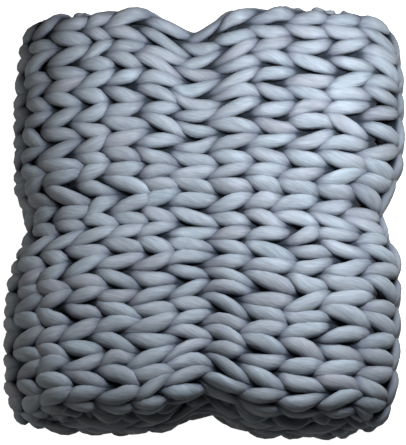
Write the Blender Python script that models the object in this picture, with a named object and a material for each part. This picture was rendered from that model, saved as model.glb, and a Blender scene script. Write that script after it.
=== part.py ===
"""Chunky knit blanket, folded in thirds along its length and then in thirds across its width.

The blanket is one knitted piece, so it is one solid. The first fold is a section of three plies that
runs back and forth along Y. The second fold carries that section back and forth along X, over two
round bends, into three layers. The knit's columns show as ribs on every face that looks outwards.

Metres, +Z up. The blanket lies on its underside, and the origin is the middle of that underside.
"""

import math

import bmesh
import bpy
from mathutils import Vector

NODE = "knit_blanket"

# The knit.
COLUMN_PITCH = 0.0376
PLY_THICKNESS = 0.0220
PLY_GAP = 0.0030
GROOVE_DEPTH = 0.0040

# The folded pack: X is across the second fold, Y across the first.
PACK_WIDTH = 0.445
PACK_LENGTH = 0.484
PLIES = 3
LAYERS = 3
HANG_DROP = 0.035

# How the pack has settled, as shares of its half width, half length or height.
WAIST_DRAW_IN = 0.055
CROWN_DROP = 0.05
CORNER_DRAW_IN = 0.045
CORNERS_DIFFER = 0.6
LEAN = 0.030
FAR_SIDE_LONGER = 0.018

# The dents that stay where two crossed bands held the pack, a little turned from its sides.
BAND_X = -0.009
BAND_Y = -0.009
BAND_TURN = 0.036
BAND_SPREAD = 0.032
BAND_DEPTH = 0.013
PINCH_SPREAD = 0.040
LONG_PINCH = 0.024
CROSS_PINCH = 0.019

# How finely the faces are cut.
POINTS_PER_COLUMN = 3
END_STEPS = 4
TIGHT_STEPS = 3
BEND_STEPS = 8
HANG_STEPS = 4

YARN_COLOUR = (0.34, 0.38, 0.44, 1.0)
YARN_ROUGHNESS = 0.9

PLY_PITCH = PLY_THICKNESS + PLY_GAP
LAYER_PITCH = PLIES * PLY_PITCH
PACK_HEIGHT = LAYERS * LAYER_PITCH - PLY_GAP
HALF_PLY = PLY_THICKNESS / 2
HALF_WIDTH = PACK_WIDTH / 2
HALF_LENGTH = PACK_LENGTH / 2
ROUND_RADIUS = PLY_PITCH / 2 + HALF_PLY
TIGHT_RADIUS = PLY_PITCH / 2 - HALF_PLY
TURN_Y = HALF_LENGTH - ROUND_RADIUS
EDGE_Y = HALF_LENGTH - HALF_PLY
BEND_X = HALF_WIDTH - LAYER_PITCH + PLY_GAP / 2

# Where each flat run is cut across, in spreads of the bands' dents.
LONG_DENT_CUTS = (-2.3, -1.0, 0.0, 1.0, 2.3, 4.0)
CROSS_DENT_CUTS = (-2.6, -1.2, 0.0, 1.2, 2.6)
RUN_CUTS = [-BEND_X] + [BAND_X + BAND_SPREAD * cut for cut in LONG_DENT_CUTS] + [BEND_X]
PLY_CUTS = [BAND_SPREAD * cut for cut in CROSS_DENT_CUTS] + [TURN_Y]


def clear_scene():
    for obj in list(bpy.data.objects):
        bpy.data.objects.remove(obj)


def arc(centre, radius, start, end, steps):
    """Points on an arc in the section, from just after its start up to just before its end."""
    turns = [start + (end - start) * step / steps for step in range(1, steps)]
    y, n = centre
    return [(y + radius * math.cos(turn), n + radius * math.sin(turn)) for turn in turns]


def ribbed_face():
    """The outer face of one end ply and of the round turn beside it, with a groove between columns."""
    straight = TURN_Y + EDGE_Y
    length = straight + math.pi * ROUND_RADIUS
    columns = round(length / COLUMN_PITCH)
    count = columns * POINTS_PER_COLUMN
    points = []
    for index in range(count + 1):
        reach = length * index / count
        in_groove = index % POINTS_PER_COLUMN == 0 and 0 < index < count
        rise = -GROOVE_DEPTH if in_groove else 0.0
        if reach <= straight:
            points.append((EDGE_Y - reach, PLY_PITCH + HALF_PLY + rise))
        else:
            turn = math.pi / 2 + (reach - straight) / ROUND_RADIUS
            radius = ROUND_RADIUS + rise
            points.append((-TURN_Y + radius * math.cos(turn), PLY_PITCH / 2 + radius * math.sin(turn)))
    return points


def plain_run(towards, height):
    """Points along an inner face, towards +Y for 1 and towards -Y for -1."""
    return [(towards * y, height) for y in PLY_CUTS]


def half_section():
    """One face of the blanket through the first fold, from the top ply's edge to the lowest ply's."""
    points = ribbed_face()
    points += plain_run(1, -HALF_PLY)
    points += arc((TURN_Y, -PLY_PITCH / 2), TIGHT_RADIUS, math.pi / 2, -math.pi / 2, TIGHT_STEPS)
    points += [(TURN_Y, -PLY_PITCH + HALF_PLY)]
    points += plain_run(-1, -PLY_PITCH + HALF_PLY)
    points += [(-EDGE_Y, -PLY_PITCH + HALF_PLY)]
    points += arc((-EDGE_Y, -PLY_PITCH), HALF_PLY, math.pi / 2, 3 * math.pi / 2, END_STEPS)
    return points


def section():
    """The closed outline of the three plies: the second face is the first one turned half round."""
    half = half_section()
    return half + [(-y, -n) for y, n in half]


def run_across(bm, edges, cuts):
    """Extrudes the open end along X through each cut after the first."""
    for here, there in zip(cuts, cuts[1:]):
        grown = bmesh.ops.extrude_edge_only(bm, edges=edges)["geom"]
        verts = [item for item in grown if isinstance(item, bmesh.types.BMVert)]
        bmesh.ops.translate(bm, vec=Vector((there - here, 0.0, 0.0)), verts=verts)
        edges = [item for item in grown if isinstance(item, bmesh.types.BMEdge)]
    return edges


def bend_round(bm, edges, centre, angle, steps):
    """Spins the open end round a line along Y."""
    spun = bmesh.ops.spin(
        bm, geom=edges, cent=centre, axis=(0.0, 1.0, 0.0), angle=angle, steps=steps, use_merge=False
    )
    return [item for item in spun["geom_last"] if isinstance(item, bmesh.types.BMEdge)]


def fold_blanket(bm):
    """Carries the section through the second fold, from the underside's free end to the top's.

    The top's free end turns down over the edge, where its outer plies hang lower than its inner ones.
    """
    middle = PLY_PITCH + HALF_PLY
    verts = [bm.verts.new((-HALF_WIDTH, y, middle + n)) for y, n in section()]
    bm.faces.new(verts)
    edges = list(bm.edges)
    near_turn = (BEND_X, 0.0, middle + LAYER_PITCH / 2)
    far_turn = (-BEND_X, 0.0, middle + LAYER_PITCH * 3 / 2)
    over_edge = (BEND_X, 0.0, middle + LAYER_PITCH * 3 / 2)
    edges = run_across(bm, edges, [-HALF_WIDTH] + RUN_CUTS)
    edges = bend_round(bm, edges, near_turn, -math.pi, BEND_STEPS)
    edges = run_across(bm, edges, RUN_CUTS[::-1])
    edges = bend_round(bm, edges, far_turn, math.pi, BEND_STEPS)
    edges = run_across(bm, edges, RUN_CUTS)
    edges = bend_round(bm, edges, over_edge, math.pi / 2, HANG_STEPS)
    for vert in {vert for edge in edges for vert in edge.verts}:
        vert.co.z -= HANG_DROP * ((vert.co.x - BEND_X) / (HALF_WIDTH - BEND_X)) ** 3
    bmesh.ops.contextual_create(bm, geom=edges)


def dent(distance, spread):
    """1 on the line of a band, fading to 0 away from it."""
    return math.exp(-((distance / spread) ** 2))


def settle(place):
    """Softens the stiff fold into a pack that has lain for a while, with its underside kept flat."""
    across = place.x / HALF_WIDTH
    along = place.y / HALF_LENGTH
    height = place.z / PACK_HEIGHT
    waist = (2 * height - 1) ** 2
    corner = CORNER_DRAW_IN * (1 + CORNERS_DIFFER * across * (1 + along) / 2)
    draw_x = 1 - WAIST_DRAW_IN * waist - corner * along**6
    draw_y = 1 - WAIST_DRAW_IN * waist - corner * across**6 + FAR_SIDE_LONGER * across
    off_long = place.x - BAND_X + (LEAN + BAND_TURN) * place.y
    off_cross = place.y - BAND_Y - BAND_TURN * place.x
    draw_x -= CROSS_PINCH / HALF_WIDTH * dent(off_cross, PINCH_SPREAD)
    draw_y -= LONG_PINCH / HALF_LENGTH * dent(off_long, PINCH_SPREAD)
    pressed = dent(off_long, BAND_SPREAD) + dent(off_cross, BAND_SPREAD)
    drop = CROWN_DROP * (across**4 + along**4) + BAND_DEPTH / PACK_HEIGHT * pressed
    return Vector((place.x * draw_x + LEAN * place.y, place.y * draw_y, place.z * (1 - drop)))


def blanket_material():
    material = bpy.data.materials.new("slate_yarn")
    material.use_nodes = True
    shader = material.node_tree.nodes["Principled BSDF"]
    shader.inputs["Base Color"].default_value = YARN_COLOUR
    shader.inputs["Roughness"].default_value = YARN_ROUGHNESS
    shader.inputs["Metallic"].default_value = 0.0
    return material


def build_blanket():
    bm = bmesh.new()
    fold_blanket(bm)
    bmesh.ops.triangulate(bm, faces=[face for face in bm.faces if len(face.verts) > 4])
    bmesh.ops.recalc_face_normals(bm, faces=bm.faces)
    for vert in bm.verts:
        if vert.co.z < GROOVE_DEPTH * 1.01:
            vert.co.z = 0.0
        vert.co = settle(vert.co)
    mesh = bpy.data.meshes.new(NODE)
    bm.to_mesh(mesh)
    bm.free()
    mesh.shade_smooth()
    mesh.materials.append(blanket_material())
    blanket = bpy.data.objects.new(NODE, mesh)
    bpy.context.scene.collection.objects.link(blanket)
    return blanket


clear_scene()
build_blanket()
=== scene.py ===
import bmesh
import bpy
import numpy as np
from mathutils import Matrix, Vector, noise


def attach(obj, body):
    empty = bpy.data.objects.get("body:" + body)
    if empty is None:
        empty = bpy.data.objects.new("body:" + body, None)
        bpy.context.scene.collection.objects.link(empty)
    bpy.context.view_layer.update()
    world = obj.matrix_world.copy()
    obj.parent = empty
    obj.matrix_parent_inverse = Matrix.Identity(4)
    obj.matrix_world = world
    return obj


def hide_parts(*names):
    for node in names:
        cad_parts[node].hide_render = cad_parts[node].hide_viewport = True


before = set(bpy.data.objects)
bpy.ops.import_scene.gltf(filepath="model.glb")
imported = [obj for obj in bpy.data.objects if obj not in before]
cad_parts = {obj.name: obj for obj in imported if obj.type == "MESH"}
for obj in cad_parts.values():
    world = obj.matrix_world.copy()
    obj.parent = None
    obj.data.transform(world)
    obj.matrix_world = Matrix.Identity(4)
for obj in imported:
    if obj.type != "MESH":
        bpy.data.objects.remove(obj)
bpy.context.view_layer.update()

# %% [markdown]
# # A chunky knit blanket, knitted flat and then folded
#
# The real blanket is one very thick yarn in stocking stitch. Nothing is woven or sewn: every stitch
# is a loop of that yarn pulled through the loop below it. It is folded in thirds along its length and
# then in thirds across its width, and it lies as a soft pack.
#
# A bumpy slab with a knitted texture would look right from far off only, because the plump legs of
# the stitches make the outline and the shadows. So this script knits: it lays the yarn's own line
# flat, gives the line its thickness, and then folds every point of the flat knit into the pack.

# %% [markdown]
# ## The folded pack's sizes
#
# These are the sizes that the solid model was built from. The first fold runs back and forth along Y
# in three plies. The second fold carries those three plies back and forth along X, over two round
# bends, into three layers. What is new here is the knit, never the pack.

# %% Sizes of the pack, in metres
PACK_WIDTH = 0.445
PACK_LENGTH = 0.484
PLY_THICKNESS = 0.022
PLY_GAP = 0.003
PLY_PITCH = PLY_THICKNESS + PLY_GAP
LAYER_PITCH = 3 * PLY_PITCH
PACK_HEIGHT = 3 * LAYER_PITCH - PLY_GAP
HALF_WIDTH = PACK_WIDTH / 2
HALF_LENGTH = PACK_LENGTH / 2
TURN_Y = HALF_LENGTH - PLY_PITCH / 2 - PLY_THICKNESS / 2
BEND_X = HALF_WIDTH - LAYER_PITCH + PLY_GAP / 2
LOWEST_LAYER = PLY_PITCH + PLY_THICKNESS / 2
HANG_DROP = 0.035
print(f"pack {PACK_WIDTH} by {PACK_LENGTH} by {PACK_HEIGHT:.3f} m, before it settles")

# %% [markdown]
# ## How much blanket a turn takes up
#
# Thick knit turns about its inner face: the outer face keeps its stitches at their own size, and the
# inner face crowds up. So a turn uses more blanket than its middle line measures. At the big bends
# the outer ply also has further to go than the inner one. It slides a little over it, as far as the
# knit lets it, which SLIP says as a share, and BEND_SPARE leaves the bends a little slack. The last
# stretch hangs over the edge: HANG_TURN_SHARE of it goes round the turn, and the rest falls straight.

# %% Flat size of the blanket
TURN_RADIUS = 0.021
TURN_ARC = np.pi * TURN_RADIUS
BEND_SPARE = 0.006
SLIP = 0.75
HANG_LENGTH = 0.120
HANG_TURN_SHARE = 0.78
FIRST_RUN = HALF_LENGTH + TURN_Y
FACE_END = FIRST_RUN + TURN_ARC
BACK_START = FACE_END + 2 * TURN_Y
FLAT_LENGTH = BACK_START + TURN_ARC + FIRST_RUN
BENDS = np.pi * (LAYER_PITCH + 2 * BEND_SPARE)
FLAT_WIDTH = HALF_WIDTH + 5 * BEND_X + BENDS + HANG_LENGTH
print(f"flat blanket: {FLAT_WIDTH:.3f} by {FLAT_LENGTH:.3f} m")

# %% [markdown]
# ## The first fold
#
# A fold could be simulated, but cloth this thick hardly creases, and a simulation would have to push
# apart a million points. A fold that is written as a function is exact and quick. `first_fold` takes
# the place `v` along the blanket's length. It gives the middle of the ply there, as a place along Y
# and a height in the layer, and the way that the knit face looks. The top ply's free edge rolls over
# the turn of the ply below it, as a knitted edge does.

# %% First fold: three plies back and forth along Y
EDGE_ROLL = 0.0375


def first_fold(v):
    ends = np.cumsum([FIRST_RUN, TURN_ARC, 2 * TURN_Y, TURN_ARC])
    part = np.searchsorted(ends, v)
    near = np.pi / 2 + np.pi * (v - ends[0]) / TURN_ARC
    far = np.pi / 2 - np.pi * (v - ends[2]) / TURN_ARC
    roll = np.clip(HALF_LENGTH - TURN_Y - v, 0, None) / EDGE_ROLL
    half = PLY_PITCH / 2
    y = np.choose(part, [
        np.minimum(HALF_LENGTH - v, TURN_Y) + EDGE_ROLL * np.sin(roll),
        -TURN_Y + half * np.cos(near),
        -TURN_Y + v - ends[1],
        TURN_Y + half * np.cos(far),
        TURN_Y - v + ends[3],
    ])
    top = PLY_PITCH - EDGE_ROLL * (1 - np.cos(roll))
    n = np.choose(part, [top, half + half * np.sin(near), 0, -half + half * np.sin(far), -PLY_PITCH])
    face_y = np.choose(part, [np.sin(roll), np.cos(near), 0, -np.cos(far), 0])
    face_n = np.choose(part, [np.cos(roll), np.sin(near), -1, -np.sin(far), 1])
    return y, n, face_y, face_n


half_way_y, half_way_n, _, _ = first_fold(np.array([FLAT_LENGTH / 2]))
print(f"half-way along, the ply's middle is at y {half_way_y[0]:.3f}, height {half_way_n[0]:.3f}")

# %% [markdown]
# ## The second fold
#
# `second_fold` carries the whole stack of plies across the width, from the underside's free end over
# the right bend and the left bend to the top. Each ply has its own radius at a bend. The last stretch
# turns down over the right edge, and its outer plies hang lower than its inner ones. The inner plies
# have hardly any room to turn there, so they push outwards and squeeze the outer ones a little:
# `pushed_out` leaves the innermost one a radius near LEAST_RADIUS.

# %% Second fold: three layers back and forth along X
TURN_REACH = HALF_WIDTH - BEND_X
LEAST_RADIUS = 0.013


def pushed_out(outer):
    return (np.sqrt(outer**2 + 4 * LEAST_RADIUS**2) - outer) / 2


def second_fold(u, middle, n):
    right = np.pi * (LAYER_PITCH / 2 - SLIP * middle + BEND_SPARE)
    left = np.pi * (LAYER_PITCH / 2 + SLIP * middle + BEND_SPARE)
    end_1 = HALF_WIDTH + BEND_X
    end_2 = end_1 + right
    end_3 = end_2 + 2 * BEND_X
    end_4 = end_3 + left
    end_5 = end_4 + 2 * BEND_X
    part = sum((u > end).astype(int) for end in (end_1, end_2, end_3, end_4, end_5))
    low = LOWEST_LAYER
    near = np.pi * (u - end_1) / right
    far = np.pi * (u - end_3) / left
    hang = (u - end_5) / HANG_LENGTH
    over = np.pi / 2 * np.clip(hang / HANG_TURN_SHARE, 0, 1)
    inner = LAYER_PITCH / 2 - n
    outer = LAYER_PITCH / 2 + n
    draped = outer + (pushed_out(outer) - pushed_out(TURN_REACH)) * np.minimum(over, 1)
    tail = HANG_DROP * (draped / TURN_REACH) ** 3
    tail = tail * np.maximum(hang - HANG_TURN_SHARE, 0) / (1 - HANG_TURN_SHARE)
    near_z = low + LAYER_PITCH / 2
    far_z = low + LAYER_PITCH * 1.5
    x = np.choose(part, [
        u - HALF_WIDTH,
        BEND_X + inner * np.sin(near),
        BEND_X - (u - end_2),
        -BEND_X - outer * np.sin(far),
        -BEND_X + (u - end_4),
        BEND_X + draped * np.sin(over),
    ])
    z = np.choose(part, [
        low + n,
        near_z - inner * np.cos(near),
        low + LAYER_PITCH - n,
        far_z - outer * np.cos(far),
        low + 2 * LAYER_PITCH + n,
        far_z + draped * np.cos(over) - tail,
    ])
    return x, z


end_x, end_z = second_fold(np.array([FLAT_WIDTH]), np.zeros(1), np.zeros(1))
print(f"the top layer's free end hangs at x {end_x[0]:.3f}, height {end_z[0]:.3f}")

# %% [markdown]
# ## Settling
#
# A pack of soft knit never stays a box. Its top and bottom draw in, its corners round off, it leans a
# little, and where crossed bands held it there are soft dents with pinched sides. The solid model has
# the same settling with the same values, so the knit and the solid stay together. A lattice could do
# this by hand, but a short formula keeps both models in step.

# %% How the pack has settled
WAIST_DRAW_IN = 0.055
CROWN_DROP = 0.05
CORNER_DRAW_IN = 0.045
CORNERS_DIFFER = 0.6
LEAN = 0.030
FAR_SIDE_LONGER = 0.018
BAND_X = -0.009
BAND_Y = -0.009
BAND_TURN = 0.036
BAND_SPREAD = 0.032
BAND_DEPTH = 0.013
PINCH_SPREAD = 0.040
LONG_PINCH = 0.024
CROSS_PINCH = 0.019


def dent(distance, spread):
    return np.exp(-((distance / spread) ** 2))


def settle(x, y, z):
    across = x / HALF_WIDTH
    along = y / HALF_LENGTH
    waist = (2 * z / PACK_HEIGHT - 1) ** 2
    corner = CORNER_DRAW_IN * (1 + CORNERS_DIFFER * across * (1 + along) / 2)
    draw_x = 1 - WAIST_DRAW_IN * waist - corner * along**6
    draw_y = 1 - WAIST_DRAW_IN * waist - corner * across**6 + FAR_SIDE_LONGER * across
    off_long = x - BAND_X + (LEAN + BAND_TURN) * y
    off_cross = y - BAND_Y - BAND_TURN * x
    draw_x -= CROSS_PINCH / HALF_WIDTH * dent(off_cross, PINCH_SPREAD)
    draw_y -= LONG_PINCH / HALF_LENGTH * dent(off_long, PINCH_SPREAD)
    pressed = dent(off_long, BAND_SPREAD) + dent(off_cross, BAND_SPREAD)
    drop = CROWN_DROP * (across**4 + along**4) + BAND_DEPTH / PACK_HEIGHT * pressed
    return x * draw_x + LEAN * y, y * draw_y, z * (1 - drop)


top_corner = settle(HALF_WIDTH, HALF_LENGTH, PACK_HEIGHT)
print("the far right top corner settles to", tuple(round(float(c), 3) for c in top_corner))

# %% [markdown]
# ## From flat to folded
#
# A flat knit point has a place `u`, `v` in the blanket and a height `h` over the middle of its ply.
# Plies inside the pack press on each other, so their heights shrink. The knit face stays plump where
# it looks outwards. The underside is pressed flat on whatever the blanket lies on. Under the hanging
# end the inner plies have no room to turn, so their corners tuck in.

# %% Fold every point of a flat piece
PRESSED = 0.70
PLUMP = 0.88
OUT_SHIFT = 0.003
PRESS_FADE = 0.025
FLOOR_CLEARANCE = 0.0004
TUCK = 0.040
TUCK_BACK = 0.005
TUCK_REACH = 0.100


def tucked_in(u, v):
    at_hang = np.clip((u - FLAT_WIDTH + HANG_LENGTH) / (HANG_LENGTH / 2), 0, 1)
    at_edge = np.clip((v - FLAT_LENGTH + TUCK_REACH) / TUCK_REACH, 0, 1)
    at_turn = np.clip(1 - np.abs(v - BACK_START - TURN_ARC / 2) / TUCK_REACH, 0, 1)
    return at_hang * (TUCK * at_edge - TUCK_BACK * at_turn)


def fold_points(flat):
    u, v, h = flat.T
    y, middle, face_y, face_n = first_fold(v)
    y = y + tucked_in(u, v)
    face_out = np.clip(1 - (v - FACE_END) / PRESS_FADE, 0, 1)
    back_out = np.clip(1 - (BACK_START - v) / PRESS_FADE, 0, 1)
    plump = np.where(h > 0, PRESSED + (PLUMP - PRESSED) * face_out, PRESSED)
    h = h * plump - OUT_SHIFT * (face_out - back_out)
    x, z = second_fold(u, middle, middle + h * face_n)
    x, y, z = settle(x, y + h * face_y, z)
    return np.stack([x, y, np.maximum(z, FLOOR_CLEARANCE)], axis=1)


middle_top = np.array([[FLAT_WIDTH - HANG_LENGTH - BEND_X, FIRST_RUN / 2, 0.0]])
print("the middle of the top ply folds to", fold_points(middle_top).round(3)[0])

# %% [markdown]
# ## One stitch
#
# Seen from the knit face, a stitch is two plump legs that open into a V. Both legs come forward, and
# the bow that joins them at the top and the bow that joins them to the next stitch lie behind. One
# closed formula draws that line: along the course it swings to and fro, across the course it goes up
# and down once a stitch, and it comes forward twice a stitch. Stitches could also be copies of one
# modelled loop, but then the yarn would break at every joint between two copies.

# %% Sizes of the knit
COLUMNS = 39
COURSES = 32
POINTS_PER_STITCH = 30
SELVEDGE = 0.011
COLUMN = (FLAT_LENGTH - 2 * SELVEDGE) / COLUMNS
RADIUS_IN_COLUMNS = 0.207
YARN_RADIUS = COLUMN * RADIUS_IN_COLUMNS
LENS_SWELL = 0.20
FRONT_SWELL = 0.07
STITCH_REACH = 0.0375
SWING_IN_COLUMNS = 0.325
STITCH_SWING = SWING_IN_COLUMNS * COLUMN
SWING_SHARPNESS = 0.2
STITCH_HEIGHT = 0.0095
CROWN_HEIGHT = STITCH_HEIGHT + YARN_RADIUS * (1 + LENS_SWELL + FRONT_SWELL)
CHAIN_HALF = COLUMN / 2
CAST_ON_STEP = 0.038
BIND_OFF_STEP = 0.042
FIRST_COURSE = CHAIN_HALF + CAST_ON_STEP
LAST_COURSE = FLAT_WIDTH - CHAIN_HALF - BIND_OFF_STEP
COURSE = (LAST_COURSE - FIRST_COURSE) / (COURSES - 1)
print(f"{COURSES} courses {COURSE * 1000:.1f} mm apart, {COLUMNS} columns {COLUMN * 1000:.1f} mm wide")
print(f"{COURSES * COLUMNS} stitches of yarn {2 * YARN_RADIUS * 1000:.1f} mm thick")


# %% The yarn's line through a row of stitches
def stitches(turn, swing_share=1.0):
    reach = -STITCH_REACH * np.cos(turn)
    swing = np.sin(2 * turn) + SWING_SHARPNESS * np.sin(4 * turn)
    aside = COLUMN * turn / (2 * np.pi) + STITCH_SWING * swing_share * swing
    return reach, aside, -STITCH_HEIGHT * np.cos(2 * turn)


one_stitch = stitches(np.linspace(0, 2 * np.pi, POINTS_PER_STITCH))
print("one stitch is long, wide and high, in mm:", [round(float(np.ptp(way)) * 1000) for way in one_stitch])

# %% [markdown]
# ## Pulled out of line
#
# Thick knit is loose, and folding pulls it about. On the top layer the courses crowd towards the left
# bend and spread towards the right. Knit that is short one way is wide the other way, so the legs
# open more where the courses crowd. The columns also run askew there. Two smooth shifts of the flat
# places do this, and they fade out, so that the edges stay where the folds put them. Their places are
# measured back from the top layer's free end.
#
# The back of the knit looks out at the first fold's far turn and round the right bend. There the rows
# of bows lie closer together, two to a course, and hide the legs behind them.

# %% Courses crowd on one side of the top layer and spread on the other
CROWD_START_BACK = 0.56
CROWD_PEAK_BACK = 0.345
CROWD_START = FLAT_WIDTH - CROWD_START_BACK
CROWD_PEAK = FLAT_WIDTH - CROWD_PEAK_BACK
CROWD_SHIFT = 0.026


def pulled_over(u):
    rise = np.clip((u - CROWD_START) / (CROWD_PEAK - CROWD_START), 0, 1)
    fall = np.clip((FLAT_WIDTH - u) / (FLAT_WIDTH - CROWD_PEAK), 0, 1)
    return -CROWD_SHIFT * np.sin(np.pi / 2 * rise) ** 2 * np.sin(np.pi / 2 * fall) ** 2


print(f"courses shift by up to {abs(pulled_over(CROWD_PEAK)) * 1000:.0f} mm")


# %% Columns run askew on the left of the top layer
SKEW_MIDDLE_BACK = 0.37
SKEW_MIDDLE = FLAT_WIDTH - SKEW_MIDDLE_BACK
SKEW_SPREAD = 0.20
SKEW_SHIFT = 0.008
SKEW_FADE = 0.070


def askew(u, v):
    off = (u - SKEW_MIDDLE) / SKEW_SPREAD
    inside = np.clip(np.minimum(v, FLAT_LENGTH - v) / SKEW_FADE, 0, 1)
    return -SKEW_SHIFT * np.sin(np.pi * off) * np.exp(-(off**2)) * inside


widest = askew(np.linspace(0, FLAT_WIDTH, 200), FLAT_LENGTH / 2).max()
print(f"columns shift by up to {widest * 1000:.1f} mm")


# %% Where the back of the knit looks out, the bows lie closer together
BACK_FADE = 0.040
BACK_DRAWS_UP = 0.27


def shows_back(v):
    return np.clip((v - BACK_START) / BACK_FADE + 1, 0, 1)


print(f"the back looks out from {BACK_START:.2f} m of {FLAT_LENGTH:.2f} m on")


# %% One course, to and fro
SWING_GAIN = 0.8


def course_line(number):
    turn = np.linspace(0, 2 * np.pi * COLUMNS, COLUMNS * POINTS_PER_STITCH + 1)
    u = FIRST_COURSE + number * COURSE
    crowding = (pulled_over(u) - pulled_over(u + COURSE)) / COURSE
    reach, aside, h = stitches(turn, 1 + SWING_GAIN * crowding)
    v = SELVEDGE + aside
    drawn_up = BACK_DRAWS_UP * shows_back(v) * np.clip((FLAT_LENGTH - v) / BACK_FADE, 0, 1)
    line = np.stack([u + reach * (1 - drawn_up), v, h], axis=1)
    return line if number % 2 == 0 else line[::-1]


print(f"a course is {len(course_line(0))} points long")

# %% [markdown]
# ## The selvedges
#
# At the end of a course the knitter turns round, so the yarn runs on into the next course in a short
# bow at the edge. With those bows a band of courses is one unbroken yarn, as it is in the hand.

# %% From one course to the next
SELVEDGE_POINTS = 6
SELVEDGE_BOW = 0.007
ROUNDED_POINTS = 10
ROUNDINGS = 12


def smoothed(line, passes):
    line = line.copy()
    for _ in range(passes):
        line[1:-1] = (line[:-2] + 2 * line[1:-1] + line[2:]) / 4
    return line


def turn_round(line, following):
    share = np.linspace(0, 1, SELVEDGE_POINTS + 2)[1:-1, None]
    side = 1 if line[-1, 1] > FLAT_LENGTH / 2 else -1
    bow = SELVEDGE_BOW * np.array([0, side, 1]) * np.sin(np.pi * share)
    step = line[-1] + (following[0] - line[-1]) * share + bow
    turned = np.concatenate([line[-ROUNDED_POINTS:], step, following[:ROUNDED_POINTS]])
    turned = smoothed(turned, ROUNDINGS)
    return np.concatenate([line[:-ROUNDED_POINTS], turned, following[ROUNDED_POINTS:]])


def band_line(numbers):
    line = course_line(numbers[0])
    for number in numbers[1:]:
        line = turn_round(line, course_line(number))
    return line


print(f"two courses joined are {len(band_line(range(2)))} points long")


# %% [markdown]
# ## The cast-on and the bound-off edge
#
# The first loops are cast on and the last ones are bound off, and both leave a chain of lying stitches
# that closes the blanket's short ends. The chain's line is made of the same stitch, turned a quarter
# round, with a step back behind each link.

# %% The chain along an edge
CHAIN_OPENING = 0.3 * np.pi
BACK_POINTS = 6
CHAIN_MARGIN = 0.014
CHAIN_ROUNDINGS = 3


def chain_line(u_middle):
    turn = np.linspace(CHAIN_OPENING, 2 * np.pi - CHAIN_OPENING, POINTS_PER_STITCH)
    reach, aside, h = stitches(turn)
    loop = np.stack([u_middle + COLUMN / 2 - aside, reach, h], axis=1)
    share = np.linspace(0, 1, BACK_POINTS + 2)[1:-1, None]
    line = np.empty((0, 3))
    for column in range(COLUMNS):
        link = loop + (0, SELVEDGE + (column + 0.5) * COLUMN, 0)
        if column:
            back = line[-1] + (link[0] - line[-1]) * share
            back[:, 2] -= STITCH_HEIGHT * np.sin(np.pi * share[:, 0])
            line = np.concatenate([line, back])
        line = np.concatenate([line, link])
    line[:, 1] = np.clip(line[:, 1], CHAIN_MARGIN, FLAT_LENGTH - CHAIN_MARGIN)
    return smoothed(line, CHAIN_ROUNDINGS)


print(f"an edge chain is {len(chain_line(CHAIN_HALF))} points long")

# %% [markdown]
# ## Hand-knitted, so not quite even
#
# A machine would repeat one stitch exactly. A hand pulls some loops tighter, and fat yarn shifts. Soft
# noise moves the line by a few millimetres, and another noise makes the yarn thicker and thinner. Each
# pair in DRIFTS is how far a noise moves the line, and over what distance it changes. A leg is also
# plumpest in its middle and thin where it dives under its neighbour. The noise has a fixed seed, so
# the blanket is the same each run.

# %% Uneven hand
DRIFTS = ((0.010, 0.060), (0.0055, 0.030))
RISE_SHARE = 0.3
SWELL = 0.24
SWELL_SCALE = 0.030
SWELL_OFFSET = Vector((7.0, 3.0, 1.0))
HAND_SEED = 1
noise.seed_set(HAND_SEED)


def uneven(line):
    moved = line.copy()
    moved[:, 0] += pulled_over(line[:, 0])
    moved[:, 1] += askew(line[:, 0], line[:, 1])
    thickness = np.empty(len(line))
    for index, point in enumerate(line):
        place = Vector(point)
        for drift, scale in DRIFTS:
            moved[index] += drift * np.array(noise.noise_vector(place / scale)) * (1, 1, RISE_SHARE)
        leg = np.clip(point[2] / STITCH_HEIGHT, -1, 1)
        swell = SWELL * noise.noise(place / SWELL_SCALE + SWELL_OFFSET)
        thickness[index] = 1 + LENS_SWELL * (2 * abs(leg) - 1) + FRONT_SWELL * leg + swell
    return moved, thickness


_, first_thickness = uneven(course_line(0))
print(f"the first course is {first_thickness.min():.2f} to {first_thickness.max():.2f} times as thick")

# %% [markdown]
# ## From a line to a yarn
#
# A curve object with a round bevel is the plain way to give a line its thickness. It is turned into a
# mesh while it is still flat, because the fold then bends the yarn's skin as well as its line: it
# crowds inside a turn and spreads outside it, as soft yarn does.

# %% A round thread along a flat line
BEVEL_RESOLUTION = 3
SIDES = 4 + 2 * BEVEL_RESOLUTION


def thread(name, line, thickness):
    curve = bpy.data.curves.new(name, "CURVE")
    curve.dimensions = "3D"
    curve.bevel_depth = YARN_RADIUS
    curve.bevel_resolution = BEVEL_RESOLUTION
    curve.use_fill_caps = True
    spline = curve.splines.new("POLY")
    spline.points.add(len(line) - 1)
    spline.points.foreach_set("co", np.c_[line, np.ones(len(line))].astype(np.float32).ravel())
    spline.points.foreach_set("radius", thickness.astype(np.float32))
    flat = bpy.data.objects.new(name + "_flat", curve)
    bpy.context.scene.collection.objects.link(flat)
    mesh = bpy.data.meshes.new_from_object(flat.evaluated_get(bpy.context.evaluated_depsgraph_get()))
    mesh.name = name
    bpy.data.objects.remove(flat)
    return mesh


print("the yarn's skin has", SIDES, "sides")

# %% [markdown]
# ## What the material needs to know
#
# The fold moves every point, so a pattern on plain object coordinates would run straight through the
# yarn. Two attributes keep what the flat knit knew. `straight_yarn` is the point's place in the yarn
# before it was knitted, twisted a little, and the fibres follow it. `crown` is 1 on the tops of the
# legs and 0 deep in the knit, where hardly any light gets in, and the material paints shade into the
# yarn's colour from it. It is 1 along the edges too, which are open to the side, and never low where
# the back of the knit looks out.

# %% Each point's place in the straight, twisted yarn
TWIST_LENGTH = 0.18


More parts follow.
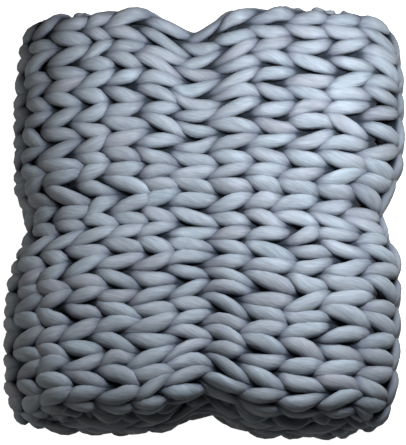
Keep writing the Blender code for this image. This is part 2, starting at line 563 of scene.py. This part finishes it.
def straight_places(line):
    steps = np.linalg.norm(np.diff(line, axis=0), axis=1)
    reach = np.concatenate([[0], np.cumsum(steps)])[:, None]
    turn = 2 * np.pi * (np.arange(SIDES) / SIDES + reach / TWIST_LENGTH)
    places = np.stack([YARN_RADIUS * np.cos(turn), YARN_RADIUS * np.sin(turn), reach + 0 * turn], axis=2)
    caps = [places[-1:], places[:1]]
    return np.concatenate(caps + [places]).reshape(-1, 3)


print(f"the yarn turns once in {TWIST_LENGTH} m")


# %% How open to the light each point lies
EDGE_OPENS = 0.020
BACK_LIT = 0.6


def openness(flat):
    u, v, h = flat.T
    inside = np.min([u, FLAT_WIDTH - u, v, FLAT_LENGTH - v], axis=0)
    lit = np.maximum(1 - np.maximum(inside, 0) / EDGE_OPENS, BACK_LIT * shows_back(v))
    return np.maximum(np.abs(h) / CROWN_HEIGHT, lit)


leg_and_depth = np.array([[0.5, FIRST_RUN / 2, CROWN_HEIGHT], [0.5, FIRST_RUN / 2, 0.0]])
print("openness on top of a leg, and in the depth beside it:", openness(leg_and_depth))


# %% Knit one piece: bend the line, thicken it, keep the attributes, fold it
WELD_DISTANCE = 1e-7


def read_points(mesh):
    points = np.empty(len(mesh.vertices) * 3, np.float32)
    mesh.vertices.foreach_get("co", points)
    return points.reshape(-1, 3).astype(float)


def weld_and_face_out(mesh):
    bm = bmesh.new()
    bm.from_mesh(mesh)
    bmesh.ops.remove_doubles(bm, verts=bm.verts, dist=WELD_DISTANCE)
    if bm.calc_volume(signed=True) < 0:
        bmesh.ops.reverse_faces(bm, faces=bm.faces)
    bm.to_mesh(mesh)
    triangles = sum(len(face.verts) - 2 for face in bm.faces)
    print(f"{mesh.name}: {triangles} triangles, {bm.calc_volume() * 1000:.2f} litres of yarn")
    bm.free()


def knit(name, line):
    line, thickness = uneven(line)
    mesh = thread(name, line, thickness)
    flat = read_points(mesh)
    straight = mesh.attributes.new("straight_yarn", "FLOAT_VECTOR", "POINT")
    straight.data.foreach_set("vector", straight_places(line).astype(np.float32).ravel())
    crown = mesh.attributes.new("crown", "FLOAT", "POINT")
    crown.data.foreach_set("value", openness(flat).astype(np.float32))
    mesh.vertices.foreach_set("co", fold_points(flat).astype(np.float32).ravel())
    weld_and_face_out(mesh)
    mesh.shade_smooth()
    piece = bpy.data.objects.new(name, mesh)
    bpy.context.scene.collection.objects.link(piece)
    return piece


# %% [markdown]
# ## The yarn's finish
#
# The yarn is unspun wool-like roving: a fat, matte strand of brushed fibres with almost no twist. Its
# dye is a slate blue-grey that wanders a little from length to length. A single flat colour would
# look like clay, so the finish is built up in layers of noise, and every layer reads the place in the
# straight yarn. The noise is squeezed along the yarn, so its spots become fibres that run with it.

# %% A material, and helpers for its nodes
slate_yarn = bpy.data.materials.new("slate_yarn")
slate_yarn.use_nodes = True
nodes = slate_yarn.node_tree.nodes
links = slate_yarn.node_tree.links
shader = nodes["Principled BSDF"]


def attribute(name, output):
    made = nodes.new("ShaderNodeAttribute")
    made.attribute_name = name
    return made.outputs[output]


def noise_along(vector, squeeze, scale, detail):
    mapping = nodes.new("ShaderNodeMapping")
    mapping.inputs["Scale"].default_value = (1, 1, squeeze)
    texture = nodes.new("ShaderNodeTexNoise")
    texture.inputs["Scale"].default_value = scale
    texture.inputs["Detail"].default_value = detail
    links.new(vector, mapping.inputs["Vector"])
    links.new(mapping.outputs["Vector"], texture.inputs["Vector"])
    return texture.outputs["Fac"]


def ramp(value, stops):
    made = nodes.new("ShaderNodeValToRGB")
    elements = made.color_ramp.elements
    elements[0].position, elements[0].color = stops[0][0], (*stops[0][1], 1)
    elements[1].position, elements[1].color = stops[-1][0], (*stops[-1][1], 1)
    for position, colour in stops[1:-1]:
        elements.new(position).color = (*colour, 1)
    links.new(value, made.inputs["Fac"])
    return made.outputs["Color"]


def times(first, second):
    made = nodes.new("ShaderNodeMix")
    made.data_type = "RGBA"
    made.blend_type = "MULTIPLY"
    made.inputs["Factor"].default_value = 1.0
    links.new(first, made.inputs["A"])
    links.new(second, made.inputs["B"])
    return made.outputs["Result"]


def grey(value):
    return (value, value, value)


print("helpers make nodes for", slate_yarn.name)


# %% Three noises: dye from length to length, soft tufts, fine fibres
straight = attribute("straight_yarn", "Vector")
dye = noise_along(straight, squeeze=0.5, scale=14, detail=1)
tufts = noise_along(straight, squeeze=0.35, scale=90, detail=2)
fibres = noise_along(straight, squeeze=0.14, scale=520, detail=5)
print("noise layers:", sum(node.type == "TEX_NOISE" for node in nodes))

# %% [markdown]
# ## Colour, and painted shade between the legs
#
# Light bounces about between the legs and is tinted and lost, more than a plain diffuse surface
# The `crown` attribute darkens the yarn's colour towards the depths. This is painted shade, a little
# tinted, which stands in for the light that is lost between the legs. It could be done with an ambient
# occlusion node, but an attribute costs nothing to render and is kept when the model is exported.

# %% Base colour, with painted shade in the depths
SLATE_DARK = (0.314, 0.339, 0.386)
SLATE_LIGHT = (0.331, 0.395, 0.452)
# painted shade: near black deep in the knit, no darkening on the tops of the legs
PAINTED_DEPTH_SHADE = [
    (0.30, (0.065, 0.078, 0.096)),
    (0.43, (0.145, 0.16, 0.19)),
    (0.58, (0.525, 0.525, 0.57)),
    (0.86, (1.0, 1.0, 1.0)),
]
NOISE_LOW = 0.3
NOISE_HIGH = 0.7
FIBRE_SHADES = (grey(0.80), grey(1.06))
TUFT_SHADES = (grey(0.79), grey(1.08))


def from_to(layer, dark, light):
    return ramp(layer, [(NOISE_LOW, dark), (NOISE_HIGH, light)])


colour = from_to(dye, SLATE_DARK, SLATE_LIGHT)
# painted shade between the legs, read from the crown attribute
colour = times(colour, ramp(attribute("crown", "Fac"), PAINTED_DEPTH_SHADE))
colour = times(colour, from_to(fibres, *FIBRE_SHADES))
colour = times(colour, from_to(tufts, *TUFT_SHADES))
links.new(colour, shader.inputs["Base Color"])
print("colour ramps:", sum(node.type == "VALTORGB" for node in nodes))

# %% [markdown]
# ## Fibres that catch the light
#
# Two bumps, one fed into the other, roughen the skin: fine fibres, and over them soft tufts of a few
# millimetres. Real displacement at this scale would need millions more triangles. A little sheen
# stands for the fuzz that lights up along the rims, and there is almost no gloss.

# %% Bumps, and the shader's own values
BUMP_STRENGTH = 0.5
TUFT_HEIGHT = 0.0015
FIBRE_HEIGHT = 0.0010


def bump(height, distance, below=None):
    made = nodes.new("ShaderNodeBump")
    made.inputs["Strength"].default_value = BUMP_STRENGTH
    made.inputs["Distance"].default_value = distance
    links.new(height, made.inputs["Height"])
    if below:
        links.new(below, made.inputs["Normal"])
    return made.outputs["Normal"]


fibre_skin = bump(fibres, FIBRE_HEIGHT)
links.new(bump(tufts, TUFT_HEIGHT, below=fibre_skin), shader.inputs["Normal"])
shader.inputs["Roughness"].default_value = 0.92
shader.inputs["Sheen Weight"].default_value = 0.06
shader.inputs["Sheen Roughness"].default_value = 0.5
shader.inputs["Specular IOR Level"].default_value = 0.12
print("slate_yarn has", len(nodes), "nodes")

# %% [markdown]
# ## Knit the blanket
#
# One mesh of the whole blanket would be over a million corners, slow to export and clumsy to edit. So
# the courses are knitted in four bands, each of them one unbroken yarn, and the two edges are pieces
# of their own. The bands meet between two courses, where each already hooks into the next.

# %% Four bands of courses and two edges
BAND_NAMES = ["knit_courses_low", "knit_courses_mid", "knit_courses_high", "knit_courses_top"]
COURSES_PER_BAND = COURSES // len(BAND_NAMES)
pieces = []
for index, name in enumerate(BAND_NAMES):
    first = index * COURSES_PER_BAND
    pieces.append(knit(name, band_line(range(first, first + COURSES_PER_BAND))))
pieces.append(knit("cast_on_edge", chain_line(CHAIN_HALF)))
pieces.append(knit("bound_off_edge", chain_line(FLAT_WIDTH - CHAIN_HALF)))

# %% Finish the pieces and let them stand for the solid
for piece in pieces:
    piece.data.materials.append(slate_yarn)
    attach(piece, "root")
    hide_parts("knit_blanket")
print(len(pieces), "pieces of yarn stand for the solid blanket")

# %% [markdown]
# ## A pale floor
#
# The floor only catches the shadow and throws a little light back up the sides. What the camera sees
# of it directly is plain white, like a studio sheet that is lit on its own: the floor glows for camera
# rays alone, so that glow adds no light to the blanket.

# %% Floor
FLOOR_HALF = 3.0
FLOOR_COLOUR = (0.82, 0.80, 0.78, 1)

bm = bmesh.new()
bmesh.ops.create_grid(bm, x_segments=1, y_segments=1, size=FLOOR_HALF)
floor_mesh = bpy.data.meshes.new("floor")
bm.to_mesh(floor_mesh)
bm.free()
floor = bpy.data.objects.new("floor", floor_mesh)
bpy.context.scene.collection.objects.link(floor)

pale = bpy.data.materials.new("pale_floor")
pale.use_nodes = True
pale_shader = pale.node_tree.nodes["Principled BSDF"]
pale_shader.inputs["Base Color"].default_value = FLOOR_COLOUR
pale_shader.inputs["Roughness"].default_value = 0.9
pale_shader.inputs["Emission Strength"].default_value = 1.0
light_path = pale.node_tree.nodes.new("ShaderNodeLightPath")
pale.node_tree.links.new(light_path.outputs["Is Camera Ray"], pale_shader.inputs["Emission Color"])
floor_mesh.materials.append(pale)
print("floor", 2 * FLOOR_HALF, "m across")

# %% [markdown]
# ## The camera
#
# The blanket is seen from above and a little from the front, so that the near side shows as a dark
# band under the top. A long lens from three metres keeps the pack's sides almost parallel.

# %% Camera
ELEVATION = np.radians(77)
DISTANCE = 3.0
FRAME_HEIGHT = 0.508
AIM = Vector((-0.0036, -0.0017, 0.11))

camera_data = bpy.data.cameras.new("camera")
camera_data.lens = camera_data.sensor_width * DISTANCE / FRAME_HEIGHT
camera = bpy.data.objects.new("camera", camera_data)
bpy.context.scene.collection.objects.link(camera)
back = Vector((0, -np.cos(ELEVATION), np.sin(ELEVATION)))
camera.location = AIM + back * DISTANCE
camera.rotation_mode = "QUATERNION"
camera.rotation_quaternion = (-back).to_track_quat("-Z", "Y")
bpy.context.scene.camera = camera
print(f"camera with a {camera_data.lens:.0f} mm lens at", tuple(round(c, 2) for c in camera.location))


# %% [markdown]
# ## Soft studio light
#
# One soft lamp, a little cool, hangs close over the far right corner. It is near, so its light falls
# off towards the left and the front, which models the plump stitches. A larger and weaker lamp, warm
# and low on the left, and a dim warm sky keep the shaded flanks readable. Three-point lighting with
# far lamps would be the usual way, but it lights the whole top evenly and flattens the knit.


# %% Lamps and sky
def soft_lamp(name, place, towards, size, power, tint):
    data = bpy.data.lights.new(name, "AREA")
    data.size = size
    data.energy = power
    data.color = tint
    lamp = bpy.data.objects.new(name, data)
    bpy.context.scene.collection.objects.link(lamp)
    lamp.location = place
    lamp.rotation_mode = "QUATERNION"
    lamp.rotation_quaternion = (Vector(towards) - Vector(place)).to_track_quat("-Z", "Y")
    lamp.visible_camera = False
    print(name, "lamp", power, "W")


COOL = (0.98, 1.0, 1.03)
WARM = (1.0, 0.93, 0.86)
soft_lamp("key", place=(0.24, 0.15, 0.70), towards=(0.14, 0.08, 0.2), size=0.28, power=6.0, tint=COOL)
soft_lamp("fill", place=(-1.35, -0.3, 0.5), towards=(0, 0, 0.1), size=0.8, power=3.0, tint=WARM)

SKY_STRENGTH = 0.06
sky = bpy.data.worlds.new("studio")
sky.use_nodes = True
sky.node_tree.nodes["Background"].inputs["Color"].default_value = (*WARM, 1)
sky.node_tree.nodes["Background"].inputs["Strength"].default_value = SKY_STRENGTH
bpy.context.scene.world = sky
bpy.context.scene.view_settings.view_transform = "Standard"
